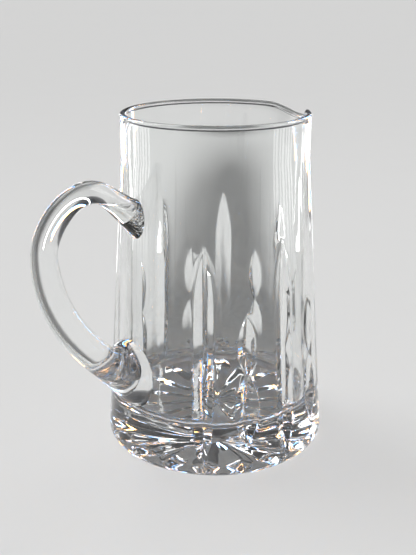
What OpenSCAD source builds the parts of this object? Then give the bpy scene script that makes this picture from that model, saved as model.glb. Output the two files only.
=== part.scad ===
// Cut glass pitcher: a mouth-blown tapered body with a pulled pouring lip, cut with tall
// mitre cuts, stacked lens cuts and a star under the base, and a drawn handle put on hot.
// The axis of the body is Z, the handle points to -X and the lip close to +X, and the
// pitcher stands on the plane Z = 0.

/* [Body] */
// Height to the top of the rim
body_h = 185; // [165:1:210]
// Outer radius of the wall just above the rounded foot
foot_r = 62.3; // [56:0.1:70]
// Outer radius of the straight neck under the rim
neck_r = 50.6; // [46:0.1:56]
// Height at which the taper ends and the neck starts
neck_z = 162; // [150:1:164]
// Rounding of the bottom edge
foot_round = 5; // [3:0.1:7]
// Thickness of the solid base at its middle
base_t = 22; // [16:0.5:28]
// Wall thickness where it leaves the base
foot_wall = 7.8; // [6.6:0.1:10]
// Wall thickness of the neck
neck_wall = 2.9; // [2.2:0.1:4]
// Rounding between the floor inside and the wall
well_round = 9; // [5:0.5:12]
// Rise of the floor inside from its middle to its rounded edge
well_rise = 1.5; // [0.5:0.1:3]

/* [Rim] */
// Thickness of the fire-polished bead round the rim
rim_t = 3.3; // [3:0.1:4.5]
// Height of the bead, from the neck wall to the top
rim_h = 4.2; // [3.6:0.1:6]

/* [Pouring lip] */
// Height of the part of the wall that is pulled out
lip_h = 30; // [26:1:34]
// Angle from the middle of the lip to where it meets the round rim
lip_angle = 27; // [20:1:34]
// Distance by which the rim is pulled outwards at the middle of the lip
lip_out = 6; // [2:0.5:9]
// Distance by which the rim dips at the middle of the lip
lip_dip = 5.5; // [2:0.5:8]
// Angle by which the hand-pulled lip stands off the line opposite the handle
lip_side = -9.5; // [-12:0.5:12]

/* [Cuts] */
// Included angle of the mitre wheel's edge
mitre_angle = 130; // [118:1:140]
// Depth of the tall cuts
tall_depth = 2.7; // [1.5:0.1:3.2]
// Height of the upper tip of the tall cuts
tall_top = 126.7; // [110:0.5:140]
// Height of the lower tip of the tall cuts
tall_foot = 3.6; // [2:0.1:12]
// Length over which the tall cuts run out at each end
tall_run = 34; // [20:1:45]
// Depth of the upper lens cuts
lens_depth = 2.5; // [1.5:0.1:3]
// Height of the upper tip of the upper lens cuts
lens_top = 90.8; // [84:0.2:100]
// Height at which the two lens cuts of a column meet tip to tip
lens_meet = 58; // [50:0.2:66]
// Depth of the lower lens cuts
drop_depth = 3.5; // [2:0.1:3.8]
// Height of the lower tip of the lower lens cuts
drop_foot = 19; // [12:0.5:26]
// Distance by which each lens cut runs on past the meeting height into the other
tip_lap = 0.7; // [0.4:0.1:1.5]

/* [Star] */
// Number of rays in the star under the base
star_rays = 16; // [8:1:20]
// Radius to the tips of the rays
star_r = 53; // [44:0.5:56]
// Length over which a ray runs out at its tip
star_run = 12; // [6:0.5:18]
// Depth of the rays near their tips
star_depth = 3; // [1.5:0.1:4]
// Radius of the dimple in which the rays meet
star_hub_r = 8; // [6:0.5:12]
// Depth of the dimple in which the rays meet
star_hub_depth = 1.4; // [0.8:0.1:2]

/* [Handle] */
// Distance from the body's axis to the middle of the rod at its furthest point
handle_reach = 105.2; // [100:0.2:110]
// Height of the furthest point of the rod
handle_z = 125; // [120:0.5:130]
// Thickness of the rod at its furthest point, in the plane of the handle
rod_t = 12.8; // [10:0.2:15]
// Width of the rod there, across the plane of the handle
rod_w = 13.9; // [11:0.1:17]
// Pull of the bow's curve, downwards from the furthest point
bow_pull = 11.6; // [8:0.2:20]
// Distance from the axis to the foot of the bow, where the lower pad begins
bow_foot_r = 77; // [74:0.5:80]
// Height of the foot of the bow
bow_foot_z = 63.6; // [60:0.2:68]
// Slope of the bow at its foot
bow_foot_slope = 46; // [38:1:54]
// Pull of the bow's curve at its foot
bow_foot_pull = 37.9; // [28:0.5:44]
// Thickness of the rod at the foot of the bow
bow_foot_t = 17.2; // [14:0.2:20]
// Pull of the bend's curve, upwards from the furthest point
bend_pull = 13.8; // [10:0.2:20]
// Distance from the axis to the end of the bend, where the upper pad begins
bend_end_r = 70; // [67:0.5:74]
// Height of the end of the bend
bend_end_z = 150; // [146:0.5:154]
// Slope of the rod at the end of the bend
bend_end_slope = 33; // [24:1:42]
// Pull of the bend's curve at its end
bend_end_pull = 19.4; // [12:0.2:24]
// Thickness of the rod at the end of the bend
bend_end_t = 11; // [9:0.2:13]
// Height of the middle of the lower pad
pad_z = 49.2; // [46:0.2:54]
// Height of the lower pad itself
pad_h = 41; // [34:1:46]
// Width of the lower pad
pad_w = 35; // [24:1:40]
// Height of the middle of the upper pad
heel_z = 133.4; // [128:0.2:138]
// Height of the upper pad itself
heel_h = 22; // [18:0.5:26]
// Width of the upper pad
heel_w = 15; // [14:0.5:22]

/* [Hidden] */
$fn = 96;

// The cuts divide the wall into this many equal steps, and the handle's panel is left plain
divisions = 16;
step_angle = 360 / divisions;
tall_steps = [-6, -4, -2, 0, 2, 4, 6];
lens_steps = [-5, -3, -1, 1, 3, 5];

// Each cutter stands this far out of the glass
overrun = 12;
arc_steps = 8;
bead_steps = 9;
lip_rows = 10;
lip_columns = 20;
rod_sides = 24;
bow_rings = 28;
bend_rings = 26;
pad_rings = 14;

// The body's outer and inner lines
taper = atan((foot_r - neck_r) / (neck_z - foot_round));
function outer_r(z) = z >= neck_z ? neck_r : foot_r - (z - foot_round) * tan(taper);
function wall_t(z) = z >= neck_z ? neck_wall
    : foot_wall + (neck_wall - foot_wall) * (z - base_t) / (neck_z - base_t);
function inner_r(z) = outer_r(z) - wall_t(z);

// Points on an arc about c, from angle a0 to angle a1
function arc(c, r, a0, a1, n) =
    [for (i = [0:n]) let (a = a0 + (a1 - a0) * i / n) c + r * [cos(a), sin(a)]];

// The rim's bead, from the outer side over the top to the inner side
bead_start = -35;
bead_c = [neck_r - neck_wall / 2, body_h - rim_t / 2];
function bead(grow) = arc(bead_c, rim_t / 2 + grow, bead_start, 180 - bead_start, bead_steps);

// The upright section of the lip. It laps over the edges of the window that it fills, and
// stands proud of the wall there by the seam.
lip_z = body_h - lip_h;
bead_z = body_h - rim_h;
seam = 0.06;
lap = 0.6;
lap_angle = atan(lap / neck_r);
function mix(a, b, t) = a + (b - a) * t;
wall_zs = concat([lip_z - lap], neck_z > lip_z ? [neck_z] : [],
    [for (i = [1:lip_rows]) mix(max(neck_z, lip_z), bead_z, i / lip_rows)]);
lip_section = concat(
    [for (z = wall_zs) [outer_r(z) + seam, z]],
    bead(seam),
    [for (i = [len(wall_zs) - 1:-1:0]) [inner_r(wall_zs[i]) - seam, wall_zs[i]]]);

// The rounded corner of the well touches the sloping wall and the floor
well_c = [inner_r(base_t + well_rise + well_round) - well_round, base_t + well_rise + well_round];

module outer_outline(top) {
    polygon(concat([[0, 0]],
        arc([foot_r - foot_round, foot_round], foot_round, -90, 0, arc_steps),
        [[outer_r(neck_z), neck_z], [neck_r, top], [0, top]]));
}

module body_outline() {
    polygon(concat([[0, 0]],
        arc([foot_r - foot_round, foot_round], foot_round, -90, 0, arc_steps),
        [[outer_r(neck_z), neck_z], [neck_r, bead_z]],
        bead(0),
        [[inner_r(bead_z), bead_z], [inner_r(neck_z), neck_z]],
        arc(well_c, well_round, 0, -90, arc_steps),
        [[0, base_t]]));
}

// How far the lip pulls the wall at an angle from its middle: 1 at the middle, 0 at its sides
function pull(a) = abs(a) >= lip_angle ? 0 : pow(cos(90 * a / lip_angle), 2);
function lip_point(p, a) =
    let (up = max(0, (p[1] - lip_z) / lip_h),
         r = p[0] + lip_out * pull(a) * pow(up, 2),
         z = p[1] - lip_dip * pow(pull(a), 1.5) * up)
    [r * cos(a), r * sin(a), z];

// Triangles that join ring after ring of n points into a skin
function skin(rings, n) = [for (k = [0:rings - 2], i = [0:n - 1])
    let (a = k * n + i, b = k * n + (i + 1) % n)
    each [[a, b, b + n], [a, b + n, a + n]]];

// The pulled part of the wall: its upright section, swept round through the lip
module lip() {
    n = len(lip_section);
    side = lip_angle + lap_angle;
    points = [for (k = [0:lip_columns], p = lip_section)
        lip_point(p, mix(-side, side, k / lip_columns))];
    last = lip_columns * n;
    first_cap = [for (i = [0:n / 2 - 2])
        each [[i, n - 2 - i, i + 1], [i, n - 1 - i, n - 2 - i]]];
    last_cap = [for (f = first_cap) [f[0] + last, f[2] + last, f[1] + last]];
    polyhedron(points, concat(first_cap, skin(lip_columns + 1, n), last_cap));
}

// The window that the lip fills in the round wall
module lip_window() {
    rotate([0, 0, -lip_angle]) rotate_extrude(angle = 2 * lip_angle)
        translate([inner_r(lip_z) - overrun, lip_z]) square([2 * overrun, lip_h + overrun]);
}

// Depths along a cut that runs out from depth d at x0 to the surface at x1, as a round wheel
// leaves it. The last step goes on past x1, out of the glass.
function run_out(x0, x1, d) =
    let (l = x1 - x0, r = (l * l + d * d) / (2 * d))
    [for (i = [0:arc_steps + 1]) let (x = l * i / arc_steps) [x0 + x, sqrt(r * r - x * x) - r + d]];
function flip(path) = [for (i = [len(path) - 1:-1:0]) path[i]];

// A V-shaped groove along X, cut down into Z = 0. Its side outline is pushed along each flank
// of the V, and the groove is what the two have in common.
module mitre(path) {
    flank = mitre_angle / 2;
    side = concat([[path[0][0], overrun]], [for (p = path) [p[0], -p[1] * sin(flank)]],
        [[path[len(path) - 1][0], overrun]]);
    intersection() {
        rotate([flank, 0, 0]) linear_extrude(2 * overrun, center = true) polygon(side);
        rotate([180 - flank, 0, 0]) linear_extrude(2 * overrun, center = true) polygon(side);
    }
}

// A cut down the wall from height z1 to z0, running out over the given length at both ends
module wall_cut(z1, z0, run, depth) {
    length = (z1 - z0) / cos(taper);
    end = min(run, length / 2);
    middle = end < length / 2 ? [[length - end, depth]] : [];
    path = concat(flip(run_out(end, 0, depth)), middle,
        [for (p = run_out(length - end, length, depth)) if (p[0] > length - end) p]);
    translate([outer_r(z1), 0, z1]) rotate([0, 90 - taper, 0]) mitre(path);
}

module wall_cuts() {
    for (k = tall_steps) rotate([0, 0, k * step_angle])
        wall_cut(tall_top, tall_foot, tall_run, tall_depth);
    for (k = lens_steps) rotate([0, 0, k * step_angle]) {
        wall_cut(lens_top, lens_meet - tip_lap, lens_top - lens_meet, lens_depth);
        wall_cut(lens_meet + tip_lap, drop_foot, lens_meet - drop_foot, drop_depth);
    }
}

// The rays start inside the dimple and deepen towards their tips
ray_start_share = 0.4;
module star() {
    start = [ray_start_share * star_hub_r, ray_start_share * star_hub_depth];
    path = concat([start], run_out(star_r - star_run, star_r, star_depth));
    for (k = [0:star_rays - 1]) rotate([0, 0, k * 360 / star_rays])
        rotate([180, 0, 0]) mitre(path);
    cylinder(r1 = star_hub_r, r2 = 0, h = star_hub_depth);
}

glass = [0.86, 0.91, 0.93, 0.5];

module body() {
    color(glass) difference() {
        union() {
            difference() {
                rotate_extrude() body_outline();
                rotate([0, 0, lip_side]) lip_window();
            }
            rotate([0, 0, lip_side]) lip();
        }
        wall_cuts();
        star();
    }
}

// A curve from p[0] to p[3] that sets off towards p[1] and comes in from p[2], and its heading
function curve(p, t) = pow(1 - t, 3) * p[0] + 3 * pow(1 - t, 2) * t * p[1]
    + 3 * (1 - t) * t * t * p[2] + pow(t, 3) * p[3];
function heading(p, t) =
    let (way = pow(1 - t, 2) * (p[1] - p[0]) + 2 * (1 - t) * t * (p[2] - p[1])
        + t * t * (p[3] - p[2]))
    way / norm(way);

// The middle line of the rod is two such curves, which meet at its furthest point: the bow below
// and the bend above. Their points are [distance from the axis, height].
far = [handle_reach, handle_z];
bow_foot = [bow_foot_r, bow_foot_z];
bow_way = [cos(bow_foot_slope), sin(bow_foot_slope)];
bow = [bow_foot, bow_foot + bow_foot_pull * bow_way, far - [0, bow_pull], far];
bend_end = [bend_end_r, bend_end_z];
bend_way = [cos(bend_end_slope), sin(bend_end_slope)];
bend = [far, far + [0, bend_pull], bend_end + bend_end_pull * bend_way, bend_end];

// A station of the rod is its outer edge, its inner edge and half its width
function station(p, t, thick) =
    let (way = heading(p, t), side = [way[1], -way[0]] * thick / 2)
    [curve(p, t) + side, curve(p, t) - side, thick * rod_w / rod_t / 2];
bow_line = [for (i = [0:bow_rings])
    station(bow, i / bow_rings, mix(bow_foot_t, rod_t, i / bow_rings))];
bend_line = [for (i = [1:bend_rings])
    station(bend, i / bend_rings, mix(rod_t, bend_end_t, i / bend_rings))];

// A pad spreads from the end of the rod to the wall, and its seat is carried a little into the
// wall. Each edge of it in the plane of the handle is a curve with pulls that are shares of the
// gap between the rod's end and the wall: along the rod, off the wall and up the wall.
seat_in = 2.5;
pad_low_shares = [0.55, 0.25, 0.28];
pad_high_shares = [0.42, 0.4, -0.12];
heel_high_shares = [0.4, 0.3, 0.12];
heel_low_shares = [0.35, 0.25, 0.2];
function pad_edge(from, way, z, gap, shares) =
    let (seat = [outer_r(z) - seat_in, z])
    [from, from - shares[0] * gap * way, seat + gap * [shares[1], shares[2]], seat];
function gap_at(p) = p[0] - outer_r(p[1]);

// Stations of a pad from the end of the rod to the wall, between two edge curves
function pad_line(outer, inner, gap, half_rod, half_pad) = [for (i = [1:pad_rings])
    let (t = i / pad_rings, o = curve(outer, t), n = curve(inner, t),
         out_share = min(1, max(0, gap_at((o + n) / 2) / gap)))
    [o, n, mix(half_pad, half_rod, (1 - cos(180 * out_share)) / 2)]];
pad_gap = gap_at(bow_foot);
pad_stations = pad_line(
    pad_edge(bow_line[0][0], bow_way, pad_z - pad_h / 2, pad_gap, pad_low_shares),
    pad_edge(bow_line[0][1], bow_way, pad_z + pad_h / 2, pad_gap, pad_high_shares),
    pad_gap, bow_line[0][2], pad_w / 2);
heel_gap = gap_at(bend_end);
bend_last = bend_line[bend_rings - 1];
heel_stations = pad_line(
    pad_edge(bend_last[0], bend_way, heel_z + heel_h / 2, heel_gap, heel_high_shares),
    pad_edge(bend_last[1], bend_way, heel_z - heel_h / 2, heel_gap, heel_low_shares),
    heel_gap, bend_last[2], heel_w / 2);
rod_line = concat([for (i = [pad_rings - 1:-1:0]) pad_stations[i]], bow_line, bend_line,
    heel_stations);

// Each station is an ellipse between its two edges, on the left of the body
function ring(s) = [for (i = [0:rod_sides - 1])
    let (a = 360 * i / rod_sides, p = (s[0] + s[1]) / 2 + (s[1] - s[0]) / 2 * cos(a))
    [-p[0], s[2] * sin(a), p[1]]];

module handle_rod() {
    rings = len(rod_line);
    last = (rings - 1) * rod_sides;
    first_cap = [for (i = [1:rod_sides - 2]) [0, i + 1, i]];
    last_cap = [for (i = [1:rod_sides - 2]) [last, last + i, last + i + 1]];
    polyhedron([for (s = rod_line) each ring(s)],
        concat(first_cap, skin(rings, rod_sides), last_cap));
}

module handle() {
    color(glass) difference() {
        handle_rod();
        rotate_extrude() outer_outline(body_h);
    }
}

body();
handle();
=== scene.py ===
import math

import bpy
import numpy as np
from bpy.props import FloatProperty, FloatVectorProperty, IntProperty, PointerProperty
from mathutils import Euler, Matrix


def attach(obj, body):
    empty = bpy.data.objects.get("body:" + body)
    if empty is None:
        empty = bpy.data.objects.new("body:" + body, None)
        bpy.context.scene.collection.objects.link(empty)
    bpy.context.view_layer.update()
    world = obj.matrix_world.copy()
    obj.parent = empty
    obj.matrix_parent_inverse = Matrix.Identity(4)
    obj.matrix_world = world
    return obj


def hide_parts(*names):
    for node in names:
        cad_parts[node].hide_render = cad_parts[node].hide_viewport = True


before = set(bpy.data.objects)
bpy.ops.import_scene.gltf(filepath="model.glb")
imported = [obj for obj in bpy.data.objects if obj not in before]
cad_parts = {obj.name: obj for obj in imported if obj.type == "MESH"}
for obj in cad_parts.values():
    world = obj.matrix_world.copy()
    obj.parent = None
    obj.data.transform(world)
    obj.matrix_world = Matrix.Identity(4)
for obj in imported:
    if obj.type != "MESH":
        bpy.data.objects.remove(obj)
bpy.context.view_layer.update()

bl_info = {
    "name": "Cut glass pitcher",
    "version": (1, 0, 0),
    "blender": (4, 5, 0),
    "location": "View3D > Sidebar > Pitcher",
    "description": "Makes a blown and cut glass pitcher with its handle, and a studio stage",
    "category": "Add Mesh",
}

DIVISIONS = 16  # sectors round the wall, and rays of the star
TALL_SECTORS = (0, 2, 4, 6, 10, 12, 14)
LENS_SECTORS = (1, 3, 5, 11, 13, 15)  # the sectors at the handle, 7 to 9, stay plain
RAY_START = 0.4  # share of the dimple's radius and depth at which a ray of the star begins
UNDER, FOOT, WALL = 0, 1, 2  # the first parts of the body's section
# points on each part of that section, both ends counted
UNDER_ROWS, ARC_ROWS, CUT_ROWS, TAPER_ROWS, NECK_ROWS, BEAD_ROWS = 49, 11, 106, 12, 10, 17
NECK_IN_ROWS, TAPER_IN_ROWS, WELL_ROWS = 9, 30, 13
FINE_PAST = 0.004  # the close rows of the cut wall go on this far past the tall cuts' tips
BEAD_FROM, BEAD_TO = -35, 215  # degrees from level, between which the bead is round
FLANK_SHARES = (0.12, 0.5)  # columns on a cut's flank, as shares of the cut's half width
PLAIN_SHARES = (0.25, 0.5, 0.75)  # columns from a cut's arris to the sector's side
ARRIS_MOST = 0.4  # the arris takes at most this share of the cut's half width
LEAST_STRIP = 0.0008  # narrowest strip of columns kept for a cut close to where it runs out
STRIP_FADE = 0.02  # distance past a cut over which that strip widens to the plain spacing
# shares of half a sector: the strip where no cut is near, the most that a strip takes where the
# cut has run out, and the most that a cut takes
STRIP_PLAIN, STRIP_MOST, CUT_MOST = 0.4, 0.6, 0.85
ROD_POINTS, PAD_POINTS, CAP_POINTS = 61, 27, 7  # along the bow, an edge of a pad, and an end
ROD_SIDES = 48
# how each edge of a pad curves, the outer one first, as shares of the gap from the rod to the wall:
# how far it sets off along the rod, then how far out and how far up lies the point that it comes
# in from
PAD_EDGES = ((0.55, 0.25, 0.28), (0.42, 0.4, -0.12))
HEEL_EDGES = ((0.4, 0.3, 0.12), (0.35, 0.25, 0.2))
CROSS_MOST = 0.9  # most of a step by which a point of the rod is moved to meet the wall
SHARP_TURN = math.radians(16)  # edges that turn by more stay sharp
SEAT_LIFT = 0.00002  # the handle's seats lie this far off the wall
SEAT_NEAR = 0.00003  # what lies this close to the wall counts as seat
SEAT_MARGIN = 0.002  # the wall's sealed finish reaches this far round a seat
FLOOR_DROP = 0.00005  # the floor lies this far below the foot
FLOOR_SIDES, FLOOR_RADII = 96, (0.4, 2.0, 30.0)
WHITE, WARM, COOL = (1, 1, 1), (1, 0.50, 0.16), (0.16, 0.46, 1)

# soft boxes that stand round the glass: side in degrees from +X, distance from the axis, width and
# height in metres, watts, colour, and how many slats hang in it
UPRIGHT_BOXES = {
    "left_slats": (138, 0.46, 0.26, 0.8, 1.1, WHITE, 7),
    "right_slats": (314, 0.46, 0.26, 0.8, 1.1, WHITE, 7),
    "left_warm": (88, 0.60, 0.02, 0.7, 1.3, WARM, 0),
    "left_cool": (84.5, 0.60, 0.02, 0.7, 1.3, COOL, 0),
    "right_cool": (17.5, 0.60, 0.02, 0.7, 1.3, COOL, 0),
    "right_warm": (14, 0.60, 0.02, 0.7, 1.3, WARM, 0),
    "left_edge": (79, 0.31, 0.012, 0.5, 0.1, WHITE, 0),
    "right_edge": (22.5, 0.31, 0.012, 0.5, 0.1, WHITE, 0),
}
# a slat's share of its step, its glow and that of the gap; then, as shares of the box's height, the
# foot where it is dark and how fast it brightens above that
SLAT_SHARE, SLAT_GLOW, GAP_GLOW = 0.55, 1.7, 0.1
DARK_FOOT, FOOT_RISE = 0.02, 12.0
CLOUD_TONE, CLOUD_MOST = 0.97, 0.5  # tone of the floor's clouds, and the most that is mixed in
WALL_UP, SKY_UP = 0.07, 0.35  # sine of the angle above level with the walls' and ceiling's colour


def length(name, description, default):
    """A size in metres."""
    return FloatProperty(name=name, description=description, default=default, unit="LENGTH",
                         subtype="DISTANCE", precision=4)


def turn(name, description, degrees):
    """An angle, given in degrees and kept in radians."""
    return FloatProperty(name=name, description=description, default=math.radians(degrees),
                         unit="ROTATION", subtype="ANGLE")


def number(name, description, default):
    """A plain number."""
    return FloatProperty(name=name, description=description, default=default, min=0)


def shade(name, description, default):
    """A colour, linear red, green and blue."""
    return FloatVectorProperty(name=name, description=description, default=default, size=3,
                               min=0, max=1, subtype="COLOR")


class BodySizes(bpy.types.PropertyGroup):
    """Sizes of the blown body and its pouring lip."""
    body_h: length("Height", "Height to the top of the rim", 0.185)
    foot_r: length("Foot radius", "Outer radius just above the rounded foot", 0.0623)
    neck_r: length("Neck radius", "Outer radius of the straight neck", 0.0506)
    neck_z: length("Neck height", "Height at which the taper ends", 0.162)
    foot_round: length("Foot rounding", "Rounding of the bottom edge", 0.005)
    base_t: length("Base thickness", "Thickness of the solid base at its middle", 0.022)
    foot_wall: length("Wall at the foot", "Wall thickness where it leaves the base", 0.0078)
    neck_wall: length("Wall at the neck", "Wall thickness of the neck", 0.0029)
    well_round: length("Well rounding", "Rounding between the floor inside and the wall", 0.009)
    well_rise: length("Floor rise", "Rise of the floor inside towards its edge", 0.0015)
    rim_t: length("Rim thickness", "Thickness of the fire-polished bead", 0.0033)
    rim_h: length("Rim height", "Height of the bead", 0.0042)
    lip_h: length("Lip height", "Height of the pulled part of the wall", 0.030)
    lip_angle: turn("Lip half angle", "Angle from the middle of the lip to its side", 27)
    lip_out: length("Lip reach", "Distance by which the rim is pulled outwards", 0.006)
    lip_dip: length("Lip dip", "Distance by which the rim dips at the lip", 0.0055)
    lip_side: turn("Lip side", "Angle of the lip off the line opposite the handle", -9.5)


class CutSizes(bpy.types.PropertyGroup):
    """Sizes of the wheel cuts on the wall and of the star under the base."""
    mitre_angle: turn("Wheel angle", "Included angle of the mitre wheel's edge", 130)
    tall_depth: length("Tall cut depth", "Depth of the tall cuts", 0.0027)
    tall_top: length("Tall cut top", "Height of the upper tip of the tall cuts", 0.1267)
    tall_foot: length("Tall cut foot", "Height of the lower tip of the tall cuts", 0.0036)
    tall_run: length("Tall cut run-out", "Length over which a tall cut runs out", 0.034)
    lens_depth: length("Upper lens depth", "Depth of the upper lens cuts", 0.0025)
    lens_top: length("Upper lens top", "Height of the tip of the upper lens cuts", 0.0908)
    lens_meet: length("Lens meeting height", "Height at which the two lens cuts meet", 0.058)
    drop_depth: length("Lower lens depth", "Depth of the lower lens cuts", 0.0035)
    drop_foot: length("Lower lens foot", "Height of the lower tip of the lower lens cuts", 0.019)
    tip_lap: length("Tip lap", "Distance by which the two lens cuts run into each other", 0.0007)
    star_r: length("Star radius", "Radius to the tips of the star's rays", 0.053)
    star_run: length("Ray run-out", "Length over which a ray runs out at its tip", 0.012)
    star_depth: length("Ray depth", "Depth of the rays near their tips", 0.003)
    star_hub_r: length("Dimple radius", "Radius of the dimple in which the rays meet", 0.008)
    star_hub_depth: length("Dimple depth", "Depth of that dimple", 0.0014)
    arris: length("Arris", "Half the width over which a cut's polished edge is rounded", 0.00055)
    valley: length("Valley", "Rounding at the bottom of a cut", 0.00015)


class HandleSizes(bpy.types.PropertyGroup):
    """Sizes of the drawn rod and of the pads that seal it to the body."""
    reach: length("Reach", "Distance from the axis to the rod's furthest point", 0.1052)
    far_z: length("Furthest height", "Height of the rod's furthest point", 0.125)
    rod_t: length("Rod thickness", "Thickness of the rod at its furthest point", 0.0128)
    rod_w: length("Rod width", "Width of the rod across the plane of the handle", 0.0139)
    bow_pull: length("Bow pull", "Pull of the bow's curve at the furthest point", 0.0116)
    bow_foot_r: length("Bow foot", "Distance from the axis to the foot of the bow", 0.077)
    bow_foot_z: length("Bow foot height", "Height of the foot of the bow", 0.0636)
    bow_foot_slope: turn("Bow foot slope", "Slope of the bow at its foot", 46)
    bow_foot_pull: length("Bow foot pull", "Pull of the bow's curve at its foot", 0.0379)
    bow_foot_t: length("Bow foot thickness", "Thickness of the rod at the foot of the bow", 0.0172)
    bend_pull: length("Bend pull", "Pull of the bend's curve at the furthest point", 0.0138)
    bend_end_r: length("Bend end", "Distance from the axis to the end of the bend", 0.070)
    bend_end_z: length("Bend end height", "Height of the end of the bend", 0.150)
    bend_end_slope: turn("Bend end slope", "Slope of the rod at the end of the bend", 33)
    bend_end_pull: length("Bend end pull", "Pull of the bend's curve at its end", 0.0194)
    bend_end_t: length("Bend end thickness", "Thickness of the rod at the end of the bend", 0.011)
    pad_z: length("Lower pad height", "Height of the middle of the lower pad", 0.0492)
    pad_h: length("Lower pad length", "Height of the lower pad itself", 0.041)
    pad_w: length("Lower pad width", "Width of the lower pad", 0.035)
    heel_z: length("Upper pad height", "Height of the middle of the upper pad", 0.1334)
    heel_h: length("Upper pad length", "Height of the upper pad itself", 0.022)
    heel_w: length("Upper pad width", "Width of the upper pad", 0.015)
    seat_in: length("Seat", "Depth to which the rod's curve is carried into the wall", 0.0025)


class GlassLook(bpy.types.PropertyGroup):
    """The finish of the glass."""
    tint: shade("Tint", "Colour that the glass passes", (0.985, 0.995, 0.99))
    ior: number("Bending", "Refractive index of lead crystal", 1.545)
    wave: length("Wave", "Height of the soft waves that blowing leaves", 0.00008)
    wave_count: number("Wave count", "Waves to a metre round the wall", 55.0)
    wave_base: number("Base waves", "By how many times its height a wave grows at the foot", 3.5)
    wave_base_h: length("Base wave height", "Height above which the waves are even", 0.07)
    ripple: length("Ripple", "Height of the fine ripples that the wheel leaves in a cut", 0.00002)
    ripple_count: number("Ripple count", "Ripples to a metre up a cut", 650.0)
    ground: FloatProperty(name="Ground ring", default=0.32, min=0, max=1, subtype="FACTOR",
                          description="Roughness of the ring that the pitcher stands on")
    ground_r: length("Ground ring radius", "Inner radius of the ground ring", 0.0532)
    ground_h: length("Ground ring height", "Height up to which the foot is ground", 0.0003)
    speck_count: number("Speck count", "Specks to a metre in the ground ring", 900.0)


class StageLook(bpy.types.PropertyGroup):
    """The studio."""
    floor: shade("Floor", "Colour of the floor", (0.70, 0.70, 0.695))
    horizon: shade("Horizon", "Colour of the room at the horizon", (0.42, 0.42, 0.42))
    wall: shade("Walls", "Colour of the room just above the horizon", (0.12, 0.12, 0.125))
    sky: shade("Ceiling", "Colour of the room overhead", (0.04, 0.04, 0.042))
    bounces: IntProperty(name="Bounces", default=16, min=12,
                         description="Turns of a light ray that thick cut glass needs")
    lens: number("Lens", "Focal length of the camera in millimetres", 54.07)
    distance: length("Camera distance", "Level distance from the axis to the camera", 0.4439)
    height: length("Camera height", "Height of the camera above the floor", 0.2489)
    heading: turn("Camera side", "Direction from the axis to the camera", 230.9)
    pitch: turn("Camera pitch", "Angle by which the camera looks down", 19.505)
    yaw: turn("Camera yaw", "Angle by which the camera looks past the axis", 0.5136)


def fade(t):
    """An even rise from 0 to 1: 3 t^2 - 2 t^3 between 0 and 1."""
    t = np.clip(t, 0, 1)
    return t * t * (3 - 2 * t)


def taper(b):
    """Angle of the tapered wall from upright."""
    return math.atan((b.foot_r - b.neck_r) / (b.neck_z - b.foot_round))


def line_radius(b, z):
    """Radius of the tapered wall's straight line, carried on past the foot."""
    return b.foot_r - (z - b.foot_round) * math.tan(taper(b))


def outer_radius(b, z):
    """Radius of the wall outside: an arc at the foot, the taper up to the neck, upright above."""
    side = np.where(z >= b.neck_z, b.neck_r, line_radius(b, z))
    drop = np.clip(b.foot_round - z, 0, b.foot_round)
    foot = b.foot_r - b.foot_round + np.sqrt(b.foot_round ** 2 - drop ** 2)
    return np.where(z < b.foot_round, foot, side)


def wall_thickness(b, z):
    """Falls evenly from the foot to the neck."""
    share = (z - b.base_t) / (b.neck_z - b.base_t)
    return np.where(z >= b.neck_z, b.neck_wall, b.foot_wall + (b.neck_wall - b.foot_wall) * share)


def inner_radius(b, z):
    """Radius of the wall inside."""
    return outer_radius(b, z) - wall_thickness(b, z)


def wheel_depth(x, span, run, depth):
    """Depth of a cut at distance x from one tip: an even depth in the middle, and over the last run
    at each end the arc of the wheel, whose radius is (run^2 + depth^2) / (2 depth). Past the tips
    it's below zero."""
    run = min(run, span / 2)
    wheel = (run ** 2 + depth ** 2) / (2 * depth)
    t = np.clip(np.maximum(run - x, run - (span - x)), 0, wheel)
    return np.sqrt(wheel ** 2 - t ** 2) - wheel + depth


def cut_depth(b, c, z, kind):
    """Depth of one sector's cuts below the wall's line at height z; below zero where none is.
    A tall cut runs out over tall_run at each tip, and a lens cut over half its length."""
    slope = math.cos(taper(b))
    if kind == "tall":
        pairs = [(c.tall_top, c.tall_foot, c.tall_run, c.tall_depth)]
    elif kind == "lens":
        pairs = [(c.lens_top, c.lens_meet - c.tip_lap, c.lens_top - c.lens_meet, c.lens_depth),
                 (c.lens_meet + c.tip_lap, c.drop_foot, c.lens_meet - c.drop_foot, c.drop_depth)]
    else:
        return np.full_like(z, -c.tall_depth)
    return np.max([wheel_depth((top - z) / slope, (top - foot) / slope, run, depth)
                   for top, foot, run, depth in pairs], axis=0)


def star_depth(c, x):
    """Depth of one ray under the base at distance x from its middle: it deepens evenly out of the
    dimple, and runs out on the wheel's arc at its tip. Within the dimple it's below zero."""
    start, start_depth = RAY_START * c.star_hub_r, RAY_START * c.star_hub_depth
    knee = c.star_r - c.star_run
    rise = start_depth + (c.star_depth - start_depth) * (x - start) / (knee - start)
    wheel = (c.star_run ** 2 + c.star_depth ** 2) / (2 * c.star_depth)
    t = np.clip(x - knee, 0, wheel)
    out = np.sqrt(wheel ** 2 - t ** 2) - wheel + c.star_depth
    return np.where(x < start, -1, np.where(x < knee, rise, out))


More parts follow.
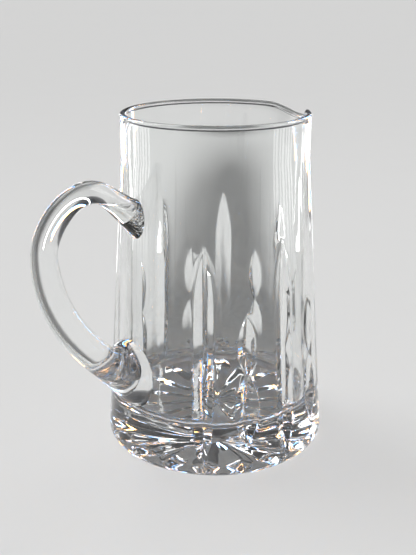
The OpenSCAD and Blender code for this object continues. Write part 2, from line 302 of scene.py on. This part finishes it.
def body_profile(b, c):
    """The body's upright section from the middle of the underside, round the foot, up the wall,
    over the bead and down to the middle of the floor inside: radius, height and which part. Each
    part leaves out the point that it shares with the one before, and the cut wall is the finest."""
    under = np.linspace(0, b.foot_r - b.foot_round, UNDER_ROWS)[1:]
    arc = np.linspace(-math.pi / 2, 0, ARC_ROWS)[1:]
    foot = np.stack([b.foot_r - b.foot_round + b.foot_round * np.cos(arc),
                     b.foot_round + b.foot_round * np.sin(arc)], 1)
    fine_top = c.tall_top + FINE_PAST
    z = np.concatenate([np.linspace(b.foot_round, fine_top, CUT_ROWS)[1:],
                        np.linspace(fine_top, b.neck_z, TAPER_ROWS)[1:],
                        np.linspace(b.neck_z, b.body_h - b.rim_h, NECK_ROWS)[1:]])
    wall = np.stack([outer_radius(b, z), z], 1)
    turn_by = np.radians(np.linspace(BEAD_FROM, BEAD_TO, BEAD_ROWS))
    bead = np.stack([b.neck_r - b.neck_wall / 2 + b.rim_t / 2 * np.cos(turn_by),
                     b.body_h - b.rim_t / 2 + b.rim_t / 2 * np.sin(turn_by)], 1)
    corner_z = b.base_t + b.well_rise + b.well_round
    z = np.concatenate([np.linspace(b.body_h - b.rim_h, b.neck_z, NECK_IN_ROWS),
                        np.linspace(b.neck_z, corner_z, TAPER_IN_ROWS)[1:]])
    inside = np.stack([inner_radius(b, z), z], 1)
    corner_r = inside[-1, 0] - b.well_round
    arc = np.linspace(0, -math.pi / 2, ARC_ROWS)[1:]
    corner = np.stack([corner_r + b.well_round * np.cos(arc),
                       corner_z + b.well_round * np.sin(arc)], 1)
    r = np.linspace(corner_r, 0, WELL_ROWS)[1:-1]
    floor = np.stack([r, b.base_t + b.well_rise * (r / corner_r)], 1)
    parts = [np.stack([under, 0 * under], 1), foot, wall, bead, inside, corner, floor]
    part = np.concatenate([np.full(len(p), i) for i, p in enumerate(parts)])
    return np.concatenate(parts), part


def groove_edge(line, depth, radius, m):
    """Half the width of a V groove where its flank meets a round of this radius: the flank is
    x = line - depth + m y, the round is x^2 + y^2 = radius^2."""
    a = line - depth
    square = (a * m) ** 2 - (1 + m * m) * (a * a - radius ** 2)
    return np.maximum((-a * m + np.sqrt(np.maximum(square, 0))) / (1 + m * m), 0)


def soft_least(one, other, span):
    """The lesser of two values, blended by a parabola where they are less than span apart."""
    share = np.clip(0.5 + 0.5 * (other - one) / span, 0, 1)
    return other + (one - other) * share - span * share * (1 - share)


def column_places(c, wide, half):
    """Distances of a sector's columns from its middle, row by row: the valley, the flank, five
    across the rounded arris at wide, and even steps from there to half, the sector's side."""
    wide, half = wide[:, None], half[:, None]
    arris = np.minimum(c.arris, ARRIS_MOST * wide)
    flank = np.concatenate([wide * np.array(FLANK_SHARES), wide - arris, wide - arris / 2, wide,
                            wide + arris / 2, wide + arris], axis=1)
    past = flank[:, -1:]
    plain = past + (half - past) * np.array(PLAIN_SHARES)
    side = np.concatenate([flank, plain], axis=1)
    return np.concatenate([-half, -side[:, ::-1], 0 * half, side], axis=1)


def sector_points(b, c, section, part, kind):
    """One sector of the body's grid, whose middle is towards +X: one row for each point of the
    section, one column for each line up the wall. The columns follow both edges and the valley of
    the sector's cut. The second result is 1 where the wheel has cut, and 0 on the blown surface."""
    r, z = section[:, 0], section[:, 1]
    cot = 1 / math.tan(c.mitre_angle / 2)
    lean = math.cos(taper(b))
    m = cot / lean
    under, outside = part == UNDER, (part == FOOT) | (part == WALL)

    # half the width of the cut or ray, and from it the places of the columns
    line, depth, ray = line_radius(b, z), cut_depth(b, c, z, kind) / lean, star_depth(c, r)
    edge = np.where(outside & (depth > 0), groove_edge(line, depth, r, m), 0)
    edge = np.where(under & (ray > 0), ray / cot, edge)
    along = np.concatenate([[0], np.cumsum(np.hypot(*np.diff(section, axis=0).T))])
    near = np.abs(along[:, None] - along[None, edge > 0]).min(axis=1)
    half = r * math.sin(math.pi / DIVISIONS)
    least = LEAST_STRIP + (STRIP_PLAIN * half - LEAST_STRIP) * fade(near / STRIP_FADE)
    wide = np.maximum(edge, np.minimum(least, STRIP_MOST * half))
    y = column_places(c, np.minimum(wide, CUT_MOST * half), half)

    # the cut in the wall
    off = np.sqrt(y ** 2 + c.valley ** 2) - c.valley
    x = np.sqrt(np.maximum(r[:, None] ** 2 - y ** 2, 0))
    cut = (outside & (depth > 0))[:, None]
    sunk = soft_least(x, (line - depth)[:, None] + m * off, 2 * m * c.arris)
    wheel = np.where(cut, (x - sunk) / (m * c.arris), 0)
    x = np.where(cut, sunk, x)

    # the ray of the star and the dimple
    star = -soft_least(cot * off - star_depth(c, x), 0 * y, 2 * cot * c.arris)
    star = np.where(ray[:, None] > 0, star, 0)
    hub = np.maximum(c.star_hub_depth * (1 - r / c.star_hub_r), 0)
    raised = np.maximum(star, hub[:, None])
    wheel = np.where(under[:, None], raised / (cot * c.arris), wheel)
    high = np.where(under[:, None], raised, z[:, None] + 0 * y)
    return np.stack([x, y, high], -1), np.clip(wheel, 0, 1)


def pull_lip(b, points):
    """Pulls the wall out and the rim down at the lip. The wall goes out by the cosine squared of
    the turn across the lip and the square of the height up it, and the rim comes down by the
    cosine cubed and the height."""
    x, y, z = points[..., 0], points[..., 1], points[..., 2]
    r, a = np.hypot(x, y), np.arctan2(y, x)
    off = np.clip((a - b.lip_side) / b.lip_angle, -1, 1)
    pull = np.cos(off * math.pi / 2) ** 2
    up = np.clip((z - (b.body_h - b.lip_h)) / b.lip_h, 0, None)
    grown = r + b.lip_out * pull * up ** 2
    return np.stack([grown * np.cos(a), grown * np.sin(a), z - b.lip_dip * pull ** 1.5 * up], -1)


def body_points(b, c):
    """The body's grid, sector after sector round the axis, with the lip pulled; then which part of
    the section each row is, and 1 where the wheel has cut."""
    section, part = body_profile(b, c)
    sectors = {kind: sector_points(b, c, section, part, kind) for kind in ("tall", "lens", "plain")}
    columns, wheels = [], []
    for k in range(DIVISIONS):
        kind = "tall" if k in TALL_SECTORS else "lens" if k in LENS_SECTORS else "plain"
        points, wheel = sectors[kind]
        x, y, z = points[..., 0], points[..., 1], points[..., 2]
        turned = k * 2 * math.pi / DIVISIONS
        columns.append(np.stack([x * math.cos(turned) - y * math.sin(turned),
                                 x * math.sin(turned) + y * math.cos(turned), z], -1))
        wheels.append(wheel)
    return pull_lip(b, np.concatenate(columns, axis=1)), part, np.concatenate(wheels, axis=1)


def ring_faces(rings, n):
    """Quads that join ring after ring of n points, wound so that they face outwards."""
    k, i = np.meshgrid(np.arange(rings - 1), np.arange(n), indexing="ij")
    a, b = k * n + i, k * n + (i + 1) % n
    return np.stack([a, b, b + n, a + n], -1).reshape(-1, 4)


def end_faces(rings, n):
    """Triangles that close the first and the last ring of n points onto the two points that follow
    the rings, facing outwards."""
    i, last = np.arange(n), (rings - 1) * n
    return np.concatenate([
        np.stack([np.full(n, rings * n), (i + 1) % n, i], -1),
        np.stack([np.full(n, rings * n + 1), last + i, last + (i + 1) % n], -1)])


def new_piece(name, points, quads, tris, slots=None, finishes=()):
    """A mesh object at the origin from arrays of points and faces."""
    mesh = bpy.data.meshes.new(name)
    loops = np.concatenate([quads.ravel(), tris.ravel()]).astype(np.int32)
    starts = np.concatenate([np.arange(len(quads)) * 4, 4 * len(quads) + np.arange(len(tris)) * 3])
    mesh.vertices.add(len(points))
    mesh.vertices.foreach_set("co", np.asarray(points, np.float32).ravel())
    mesh.loops.add(len(loops))
    mesh.loops.foreach_set("vertex_index", loops)
    mesh.polygons.add(len(starts))
    mesh.polygons.foreach_set("loop_start", starts.astype(np.int32))
    if slots is not None:
        mesh.polygons.foreach_set("material_index", slots.astype(np.int32))
    for finish in finishes:
        mesh.materials.append(finish)
    mesh.update(calc_edges=True)
    if mesh.validate():
        raise RuntimeError(f"{name} has bad faces")
    mesh.shade_smooth()
    mesh.set_sharp_from_angle(angle=SHARP_TURN)
    piece = bpy.data.objects.new(name, mesh)
    bpy.context.scene.collection.objects.link(piece)
    return piece


def add_values(piece, name, values):
    """Gives each point of a piece a value that its finish can read."""
    kept = piece.data.attributes.new(name, "FLOAT", "POINT")
    kept.data.foreach_set("value", values.astype(np.float32))


def make_body(b, c, h, finishes):
    """The blown body. Its points know whether the wheel has cut them and how far within a seat of
    the handle they lie, and the wall round the seats takes the second finish."""
    grid, part, wheels = body_points(b, c)
    rows, n = grid.shape[:2]
    points = np.concatenate([grid.reshape(-1, 3), [[0, 0, c.star_hub_depth], [0, 0, b.base_t]]])
    quads = ring_faces(rows, n)
    within = np.where(points[:, 0] < 0, seat_reach(handle_rings(b, h)[1], points), -1)
    wall = np.repeat((part[:-1] == WALL) & (part[1:] == WALL), n)
    sealed = (within[quads] > -SEAT_MARGIN).any(axis=1) & wall
    slots = np.concatenate([sealed.astype(int), np.zeros(2 * n, int)])
    piece = new_piece("body_glass", points, quads, end_faces(rows, n), slots, finishes)
    middles = [1, 0]  # the dimple's middle is cut, that of the floor inside isn't
    add_values(piece, "cut", np.append(wheels.ravel(), middles))
    add_values(piece, "within_seat", within)
    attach(piece, "root")
    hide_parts("body")


def curve(p, t):
    """Points of a curve from p[0] to p[3] that sets off towards p[1] and comes in from p[2], and
    its heading at each: at = u^3 p0 + 3 u^2 t p1 + 3 u t^2 p2 + t^3 p3 with u = 1 - t."""
    p, t = np.array(p), np.asarray(t)[:, None]
    at = ((1 - t) ** 3 * p[0] + 3 * (1 - t) ** 2 * t * p[1] + 3 * (1 - t) * t * t * p[2]
          + t ** 3 * p[3])
    way = (1 - t) ** 2 * (p[1] - p[0]) + 2 * (1 - t) * t * (p[2] - p[1]) + t * t * (p[3] - p[2])
    return at, way / np.hypot(way[:, 0], way[:, 1])[:, None]


def handle_edges(b, h):
    """The outer and inner edges of the rod in the plane of the handle and half its width, from the
    lower pad to the upper one, as distance from the axis and height. The bow and the bend meet at
    the furthest point; each pad's edges are curves from the rod's end to the wall."""
    far = np.array([h.reach, h.far_z])
    foot, end = np.array([h.bow_foot_r, h.bow_foot_z]), np.array([h.bend_end_r, h.bend_end_z])
    foot_way = np.array([math.cos(h.bow_foot_slope), math.sin(h.bow_foot_slope)])
    end_way = np.array([math.cos(h.bend_end_slope), math.sin(h.bend_end_slope)])
    t = np.linspace(0, 1, ROD_POINTS)
    bow = curve([foot, foot + h.bow_foot_pull * foot_way, far - [0, h.bow_pull], far], t)
    bend = curve([far, far + [0, h.bend_pull], end + h.bend_end_pull * end_way, end], t[1:])
    line, way = np.concatenate([bow[0], bend[0]]), np.concatenate([bow[1], bend[1]])
    thick = np.concatenate([h.bow_foot_t + (h.rod_t - h.bow_foot_t) * t,
                            h.rod_t + (h.bend_end_t - h.rod_t) * t[1:]])
    side = np.stack([way[:, 1], -way[:, 0]], -1) * thick[:, None] / 2
    outer, inner, wide = line + side, line - side, thick * h.rod_w / h.rod_t / 2

    def gap_at(p):
        """Distance from the wall to each point."""
        return p[:, 0] - outer_radius(b, p[:, 1])

    def pad_edge(start, way, z, gap, shares):
        """One edge of a pad, from the rod to the wall at height z: the first share of the gap is
        how far it sets off along the rod, the others where it comes in from."""
        seat = np.array([float(outer_radius(b, np.array(z))) - h.seat_in, z])
        return curve([start, start - shares[0] * gap * way, seat + gap * np.array(shares[1:]),
                      seat], np.linspace(0, 1, PAD_POINTS)[1:])[0]

    def pad(k, way, mid, tall, wide_pad, shares):
        """Both edges of a pad and half its width, which grows on a cosine from the rod's."""
        gap = float(gap_at(line[[k]])[0])
        o = pad_edge(outer[k], way, mid + tall, gap, shares[0])
        i = pad_edge(inner[k], way, mid - tall, gap, shares[1])
        out = np.clip(gap_at((o + i) / 2) / gap, 0, 1)
        share = (1 - np.cos(math.pi * out)) / 2
        return o, i, wide_pad / 2 + (wide[k] - wide_pad / 2) * share

    low = pad(0, foot_way, h.pad_z, -h.pad_h / 2, h.pad_w, PAD_EDGES)
    top = pad(-1, end_way, h.heel_z, h.heel_h / 2, h.heel_w, HEEL_EDGES)
    return [np.concatenate([lower[::-1], rod, upper])
            for lower, rod, upper in zip(low, (outer, inner, wide), top)]


def handle_rings(b, h):
    """Ellipses between the rod's two edges, ring after ring, and the outlines of both seats, where
    the lines along the rod meet the wall. The last point of a line outside the wall and the first
    one inside it are brought together on the wall."""
    outer, inner, wide = handle_edges(b, h)
    a = np.arange(ROD_SIDES) * 2 * math.pi / ROD_SIDES
    mid, half = (outer + inner) / 2, (outer - inner) / 2
    flat = mid[:, None, :] - half[:, None, :] * np.cos(a)[None, :, None]
    rings = np.stack([-flat[..., 0], wide[:, None] * np.sin(a)[None, :], flat[..., 1]], -1)
    line, outlines = np.arange(ROD_SIDES), []
    for order in (rings, rings[::-1]):
        gap = np.hypot(order[..., 0], order[..., 1]) - outer_radius(b, order[..., 2])
        k = np.maximum(np.argmax(gap > 0, axis=0) - 1, 0)
        share = np.clip(gap[k, line] / (gap[k, line] - gap[k + 1, line]), 0, CROSS_MOST)
        order[k, line] += share[:, None] * (order[k + 1, line] - order[k, line])
        outlines.append(press_on(b, order[k, line], always=True))
        order[k, line] = outlines[-1]
    return rings, outlines


def press_on(b, points, always=False):
    """Moves points that are inside the body straight out to its wall, or all of them."""
    rho = np.hypot(points[..., 0], points[..., 1])
    grow = (outer_radius(b, points[..., 2]) + SEAT_LIFT) / rho
    grow = grow if always else np.maximum(grow, 1)
    return points * np.stack([grow, grow, np.ones_like(grow)], -1)


def seat_reach(outlines, points):
    """How far each point lies within the nearer of the two seats, seen along the handle's plane:
    the outline's reach from its middle in the point's direction less the point's own distance."""
    reach = []
    for outline in outlines:
        middle = (outline.max(axis=0) + outline.min(axis=0)) / 2
        y, z = (outline - middle)[:, 1], (outline - middle)[:, 2]
        off = points - middle
        edge = np.interp(np.arctan2(off[:, 2], off[:, 1]), np.arctan2(z, y), np.hypot(y, z),
                         period=2 * math.pi)
        reach.append(edge - np.hypot(off[:, 1], off[:, 2]))
    return np.maximum(*reach)


def make_handle(b, h, finishes):
    """The drawn rod; what would be inside the body is pressed out to the wall, so that both ends
    are seated on it."""
    rings = handle_rings(b, h)[0]
    inward = np.linspace(1, 0, CAP_POINTS)[1:-1]

    def cap(ring):
        """Smaller copies of an end ring, and its middle."""
        middle = ring.mean(axis=0)
        return middle + (ring - middle)[None] * inward[:, None, None], middle

    first, first_middle = cap(rings[0])
    last, last_middle = cap(rings[-1])
    rings = np.concatenate([first[::-1], rings, last])
    points = press_on(b, np.concatenate([rings.reshape(-1, 3), [first_middle, last_middle]]))
    quads, ends = ring_faces(len(rings), ROD_SIDES), end_faces(len(rings), ROD_SIDES)
    on_wall = np.hypot(points[:, 0], points[:, 1]) <= outer_radius(b, points[:, 2]) + SEAT_NEAR
    slots = np.concatenate([on_wall[quads].all(axis=1), on_wall[ends].all(axis=1)]).astype(int)
    piece = new_piece("handle_glass", points, quads, ends, slots, finishes)
    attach(piece, "root")
    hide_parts("handle")


class Value:
    """A shader socket. An expression on values adds its Math nodes."""

    def __init__(self, board, socket):
        self.board, self.socket = board, socket

    def math(self, kind, *others, flip=False):
        """A Math node of one kind on this value and the others."""
        sides = [self, *others]
        return self.board.node("ShaderNodeMath", {"operation": kind},
                               dict(enumerate(reversed(sides) if flip else sides)))

    def __add__(self, other): return self.math("ADD", other)
    def __sub__(self, other): return self.math("SUBTRACT", other)
    def __mul__(self, other): return self.math("MULTIPLY", other)
    def __truediv__(self, other): return self.math("DIVIDE", other)
    def __lt__(self, other): return self.math("LESS_THAN", other)
    def __gt__(self, other): return self.math("GREATER_THAN", other)
    def __radd__(self, other): return self.math("ADD", other, flip=True)
    def __rsub__(self, other): return self.math("SUBTRACT", other, flip=True)
    def __rmul__(self, other): return self.math("MULTIPLY", other, flip=True)
    def __rtruediv__(self, other): return self.math("DIVIDE", other, flip=True)

    def clip(self):
        """The value held between 0 and 1."""
        return self.board.node("ShaderNodeClamp", {}, {0: self})

    def out(self, name):
        """Another output of the same node."""
        return Value(self.board, self.socket.node.outputs[name])


class Board:
    """The node tree of one finish."""

    def __init__(self, tree):
        self.tree = tree
        tree.nodes.clear()

    def node(self, kind, settings, sockets):
        """Adds a node: its settings first, then the values or links of its sockets."""
        made = self.tree.nodes.new(kind)
        for name, value in settings.items():
            if name == "stops":
                ramp = made.color_ramp
                while len(ramp.elements) < len(value):
                    ramp.elements.new(0.5)
                for element, (at, colour) in zip(ramp.elements, value):
                    element.position, element.color = at, colour
            else:
                setattr(made, name, value)
        for name, value in sockets.items():
            if isinstance(value, Value):
                self.tree.links.new(value.socket, made.inputs[name])
            else:
                made.inputs[name].default_value = value
        return Value(self, made.outputs[0]) if made.outputs else None


def new_finish(name):
    """A material and the empty board of its nodes."""
    finish = bpy.data.materials.new(name)
    finish.use_nodes = True
    return finish, Board(finish.node_tree)


def glass_finish(name, look, sealed=False):
    """Lead crystal with soft blown waves, fine ripples in the cuts and a ground ring under the
    foot. The waves are twice as long up the wall as round it, and grow towards the foot. Where it
    is sealed, the glass of the two pieces runs on through the seat of each pad with no surface
    between."""
    finish, board = new_finish(name)
    place = board.node("ShaderNodeTexCoord", {}, {}).out("Object")
    z = board.node("ShaderNodeSeparateXYZ", {}, {0: place}).out("Z")
    from_axis = board.node("ShaderNodeVectorMath", {"operation": "LENGTH"}, {0: place}).out("Value")

    drawn = board.node("ShaderNodeMapping", {}, {"Vector": place, "Scale": (1, 1, 0.5)})
    waves = board.node("ShaderNodeTexNoise", {}, {
        "Vector": drawn, "Scale": look.wave_count, "Detail": 1.0, "Roughness": 0.4})
    grown = (1.0 - z / look.wave_base_h).clip() * look.wave_base + 1.0
    across = board.node("ShaderNodeMapping", {}, {"Vector": place, "Scale": (0.1, 0.1, 1)})
    ripples = board.node("ShaderNodeTexNoise", {}, {
        "Vector": across, "Scale": look.ripple_count, "Detail": 2.0})
    cut = board.node("ShaderNodeAttribute", {"attribute_name": "cut"}, {}).out("Fac")
    height = waves * grown * look.wave + ripples * cut * look.ripple
    bump = board.node("ShaderNodeBump", {}, {"Strength": 1.0, "Distance": 1.0, "Height": height})

    specks = board.node("ShaderNodeTexNoise", {}, {
        "Vector": place, "Scale": look.speck_count, "Detail": 3.0})
    ring = (z < look.ground_h) * (from_axis > look.ground_r)
    uneven = specks * 0.8 + 0.6  # from 0.6 to 1.4 times the ground ring's roughness
    rough = ring * uneven * look.ground
    surface = board.node("ShaderNodeBsdfPrincipled", {}, {
        "Base Color": (*look.tint, 1), "Roughness": rough, "IOR": look.ior,
        "Transmission Weight": 1.0, "Normal": bump})
    if sealed:
        within = board.node("ShaderNodeAttribute", {"attribute_name": "within_seat"}, {}).out("Fac")
        clear = board.node("ShaderNodeBsdfTransparent", {}, {})
        surface = board.node("ShaderNodeMixShader", {}, {0: within > 0.0, 1: surface, 2: clear})
    board.node("ShaderNodeOutputMaterial", {}, {"Surface": surface})
    return finish


def seat_finish(name):
    """The seat of a pad, where no surface is left between the two pieces."""
    finish, board = new_finish(name)
    clear = board.node("ShaderNodeBsdfTransparent", {}, {})
    board.node("ShaderNodeOutputMaterial", {}, {"Surface": clear})
    return finish


def floor_finish(name, look):
    """A plain matt floor, clouded by a tone that is up to 1.5 per cent darker."""
    finish, board = new_finish(name)
    place = board.node("ShaderNodeTexCoord", {}, {}).out("Object")
    grain = board.node("ShaderNodeTexNoise", {}, {"Vector": place, "Scale": 14.0, "Detail": 4.0})
    darker = tuple(CLOUD_TONE * part for part in look.floor)
    tone = board.node("ShaderNodeMix", {"data_type": "RGBA"}, {
        "Factor": grain * CLOUD_MOST, 6: (*look.floor, 1), 7: (*darker, 1)}).out(2)
    surface = board.node("ShaderNodeBsdfPrincipled", {}, {
        "Base Color": tone, "Roughness": 0.9, "Specular IOR Level": 0.0})
    board.node("ShaderNodeOutputMaterial", {}, {"Surface": surface})
    return finish


class PITCHER_OT_body(bpy.types.Operator):
    """Make the blown body with its lip, wall cuts and star"""
    bl_idname = "pitcher.body"
    bl_label = "Body"

    def execute(self, context):
        s = context.scene
        make_body(s.pitcher_body, s.pitcher_cuts, s.pitcher_handle, [
            glass_finish("crystal", s.pitcher_glass),
            glass_finish("crystal_at_pads", s.pitcher_glass, sealed=True)])
        return {"FINISHED"}


class PITCHER_OT_handle(bpy.types.Operator):
    """Make the drawn handle with its two pads"""
    bl_idname = "pitcher.handle"
    bl_label = "Handle"

    def execute(self, context):
        s = context.scene
        make_handle(s.pitcher_body, s.pitcher_handle, [
            glass_finish("drawn_crystal", s.pitcher_glass), seat_finish("sealed_seat")])
        return {"FINISHED"}


def soft_light(name, at, aim, width, height, watts, colour=WHITE):
    """A soft box at a place, turned to face a point."""
    lamp = bpy.data.lights.new(name, "AREA")
    lamp.shape, lamp.size, lamp.size_y, lamp.energy = "RECTANGLE", width, height, watts
    lamp.color = colour
    piece = bpy.data.objects.new(name, lamp)
    way = np.array(aim) - np.array(at)
    flat = math.hypot(way[0], way[1])
    piece.location = at
    piece.rotation_euler = Euler((math.pi / 2 + math.atan2(way[2], flat), 0,
                                  math.atan2(way[1], way[0]) - math.pi / 2))
    bpy.context.scene.collection.objects.link(piece)
    return piece


def far_light(name, strength, spread, tilt, side):
    """A lamp so far off that its light comes from one direction: tilt is its angle from overhead,
    side the direction that it stands in, and spread how wide it looks, all in degrees."""
    lamp = bpy.data.lights.new(name, "SUN")
    lamp.energy, lamp.angle = strength, math.radians(spread)
    piece = bpy.data.objects.new(name, lamp)
    piece.rotation_euler = Euler((0, math.radians(tilt), math.radians(side)))
    bpy.context.scene.collection.objects.link(piece)
    return piece


def light_only(lamp, *pieces):
    """Makes a lamp light these pieces and nothing else."""
    group = bpy.data.collections.new("lit_by_" + lamp.name)
    for piece in pieces:
        group.objects.link(piece)
    lamp.light_linking.receiver_collection = group


def upright_light(name, side, away, width, height, watts, colour, slats):
    """A soft box that stands on the floor beside the pitcher. Its cloth may hang in upright slats
    with gaps between them; such a wide box is mirrored in the glass and not seen straight through
    it."""
    turned = math.radians(side)
    at = (away * math.cos(turned), away * math.sin(turned), height / 2)
    piece = soft_light(name, at, (0, 0, height / 2), width, height, watts, colour)
    piece.visible_camera = False
    if slats:
        piece.visible_transmission = False
        piece.data.use_nodes = True
        board = Board(piece.data.node_tree)
        place = board.node("ShaderNodeNewGeometry", {}, {}).out("Parametric")
        across = board.node("ShaderNodeSeparateXYZ", {}, {0: place})
        in_step = (across * float(slats)).math("FRACT")
        foot = ((across.out("Y") - DARK_FOOT) * FOOT_RISE).clip()
        strength = ((in_step < SLAT_SHARE) * SLAT_GLOW + GAP_GLOW) * foot
        glow = board.node("ShaderNodeEmission", {}, {"Strength": strength})
        board.node("ShaderNodeOutputLight", {}, {"Surface": glow})
    return piece


def make_floor(look):
    """A round floor just under the foot: rings of points round a middle one, facing up."""
    n = FLOOR_SIDES
    a = np.arange(n) * 2 * math.pi / n
    r = np.array(FLOOR_RADII)[:, None]
    rings = np.stack([r * np.cos(a), r * np.sin(a), 0 * r * a - FLOOR_DROP], -1)
    points = np.concatenate([rings.reshape(-1, 3), [[0, 0, -FLOOR_DROP]]])
    middle = np.full(n, len(r) * n)
    tris = np.stack([middle, np.arange(n), (np.arange(n) + 1) % n], -1)
    floor = new_piece("studio_floor", points, ring_faces(len(r), n)[:, ::-1], tris,
                      finishes=[floor_finish("pale_floor", look)])
    return floor


def make_room(look):
    """The room round the stage, whose colour changes with height only."""
    world = bpy.data.worlds.new("studio_room")
    world.use_nodes = True
    board = Board(world.node_tree)
    way = board.node("ShaderNodeTexCoord", {}, {}).out("Generated")
    up = board.node("ShaderNodeSeparateXYZ", {}, {0: way}).out("Z")
    stops = [(0.0, (*look.horizon, 1)), (WALL_UP, (*look.wall, 1)), (SKY_UP, (*look.sky, 1))]
    tone = board.node("ShaderNodeValToRGB", {"stops": stops}, {0: up})
    back = board.node("ShaderNodeBackground", {}, {"Color": tone, "Strength": 1.0})
    board.node("ShaderNodeOutputWorld", {}, {"Surface": back})
    return world


def make_camera(look):
    """The camera at the photograph's viewing angle."""
    camera = bpy.data.objects.new("camera", bpy.data.cameras.new("camera"))
    camera.data.lens = look.lens
    camera.data.clip_start, camera.data.clip_end = 0.01, 100
    camera.location = (look.distance * math.cos(look.heading),
                       look.distance * math.sin(look.heading), look.height)
    camera.rotation_euler = Euler((math.pi / 2 - look.pitch, 0,
                                   look.heading - 3 * math.pi / 2 + look.yaw))
    bpy.context.scene.collection.objects.link(camera)
    return camera


class PITCHER_OT_stage(bpy.types.Operator):
    """Lay the pale floor, hang the soft lights and place the camera"""
    bl_idname = "pitcher.stage"
    bl_label = "Stage"

    def execute(self, context):
        scene = context.scene
        look = scene.pitcher_stage
        floor = make_floor(look)
        body, handle = bpy.data.objects["body_glass"], bpy.data.objects["handle_glass"]
        for name, box in UPRIGHT_BOXES.items():
            lamp = upright_light(name, *box)
            # mirrored in the lower pad, the left slats would look like letters
            light_only(lamp, *([body] if name == "left_slats" else [body, handle]))
        soft_light("top_box", at=(0.1, 0.15, 1.1), aim=(0, 0, 0), width=0.55, height=0.55,
                   watts=0.95)
        far_light("high_window", strength=0.5, spread=30, tilt=35, side=110)
        # the low lamp behind the camera lights the floor alone: the pitcher's shadow falls straight
        # back, and the cuts stand light against it
        low_lamp = far_light("low_lamp", strength=11.0, spread=9, tilt=77.3, side=228.5)
        light_only(low_lamp, floor)
        scene.world = make_room(look)
        scene.camera = make_camera(look)
        scene.view_settings.view_transform = "Standard"
        scene.cycles.max_bounces = look.bounces
        scene.cycles.transmission_bounces = look.bounces
        scene.cycles.glossy_bounces = look.bounces
        return {"FINISHED"}


class PITCHER_PT_panel(bpy.types.Panel):
    """Lists the sizes and looks of each piece, with the button that makes it."""
    bl_idname = "PITCHER_PT_panel"
    bl_label = "Cut glass pitcher"
    bl_space_type = "VIEW_3D"
    bl_region_type = "UI"
    bl_category = "Pitcher"

    def draw(self, context):
        for title, group, operator in (
                ("Body", "pitcher_body", "pitcher.body"), ("Cuts", "pitcher_cuts", None),
                ("Handle", "pitcher_handle", "pitcher.handle"), ("Glass", "pitcher_glass", None),
                ("Stage", "pitcher_stage", "pitcher.stage")):
            box = self.layout.box()
            box.label(text=title)
            sizes = getattr(context.scene, group)
            for name in sizes.bl_rna.properties.keys():
                if name not in ("name", "rna_type"):
                    box.prop(sizes, name)
            if operator:
                box.operator(operator)


GROUPS = {"pitcher_body": BodySizes, "pitcher_cuts": CutSizes, "pitcher_handle": HandleSizes,
          "pitcher_glass": GlassLook, "pitcher_stage": StageLook}
CLASSES = (*GROUPS.values(), PITCHER_OT_body, PITCHER_OT_handle, PITCHER_OT_stage, PITCHER_PT_panel)


def register():
    """Adds the classes, and the property groups to the scene."""
    for kind in CLASSES:
        bpy.utils.register_class(kind)
    for name, kind in GROUPS.items():
        setattr(bpy.types.Scene, name, PointerProperty(type=kind))


def unregister():
    """Takes away what register added."""
    for name in GROUPS:
        delattr(bpy.types.Scene, name)
    for kind in reversed(CLASSES):
        bpy.utils.unregister_class(kind)


def main():
    """Makes the pieces and the stage."""
    register()
    bpy.ops.pitcher.body()
    bpy.ops.pitcher.handle()
    bpy.ops.pitcher.stage()


if __name__ == "__main__":
    main()
